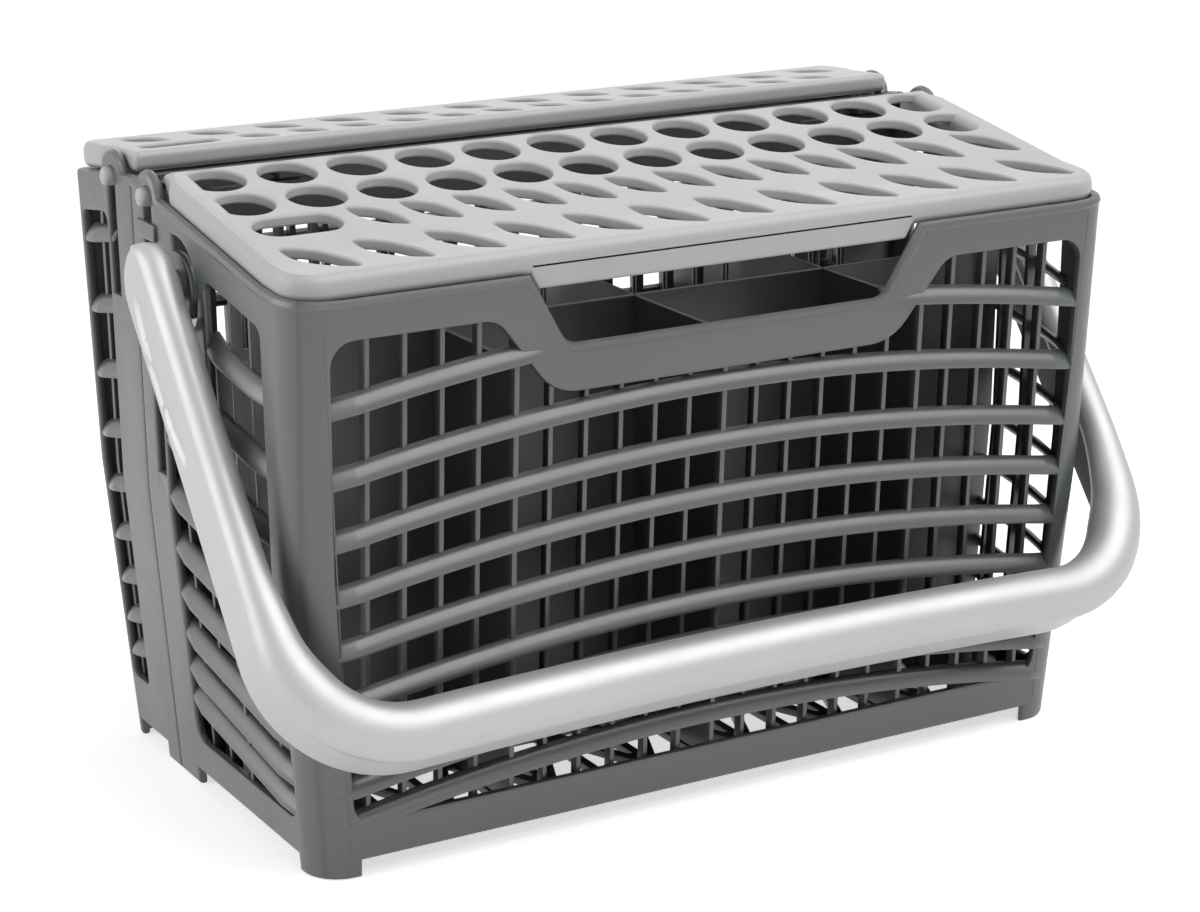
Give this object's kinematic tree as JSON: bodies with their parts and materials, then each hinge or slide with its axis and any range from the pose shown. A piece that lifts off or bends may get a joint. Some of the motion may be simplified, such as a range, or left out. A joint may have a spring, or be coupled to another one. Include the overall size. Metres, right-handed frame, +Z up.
{
  "type": "dishwasher cutlery basket",
  "caption": "Two-part plastic cutlery basket with barred walls, perforated hinged lids, a hooked-on rear half and a swinging bail handle.",
  "frame": {"origin": "on the floor under the middle of the whole box, with the handle down in front", "axes": "+X to the right along the basket, +Y to the rear half, +Z up"},
  "size_m": [0.263, 0.1606, 0.1682],
  "materials": {
    "basket": "satin moulded plastic",
    "lid": "satin moulded plastic",
    "handle": "silver satin moulded plastic"
  },
  "bodies": {
    "front_basket": {"front_basket": "basket"},
    "rear_basket": {"rear_basket": "basket"},
    "front_lid": {"front_lid": "lid"},
    "rear_lid": {"rear_lid": "lid"},
    "handle": {"handle": "handle"}
  },
  "joints": [
    {"name": "handle_swing", "type": "hinge", "parent": "front_basket", "child": "handle", "pos_m": [0, 0.01089, 0.14], "axis": [-1, 0, 0], "range_deg": [0, 141.4]},
    {"name": "front_lid_hinge", "type": "hinge", "parent": "front_basket", "child": "front_lid", "pos_m": [0, 0.02839, 0.15966], "axis": [-1, 0, 0], "range_deg": [0, 95]},
    {"name": "rear_basket_slide", "type": "slide", "parent": "front_basket", "child": "rear_basket", "axis": [-1, 0, 0], "range_m": [0, 0.012]},
    {"name": "rear_lid_hinge", "type": "hinge", "parent": "rear_basket", "child": "rear_lid", "pos_m": [0, 0.05289, 0.16083], "axis": [1, 0, 0], "range_deg": [0, 95]}
  ]
}
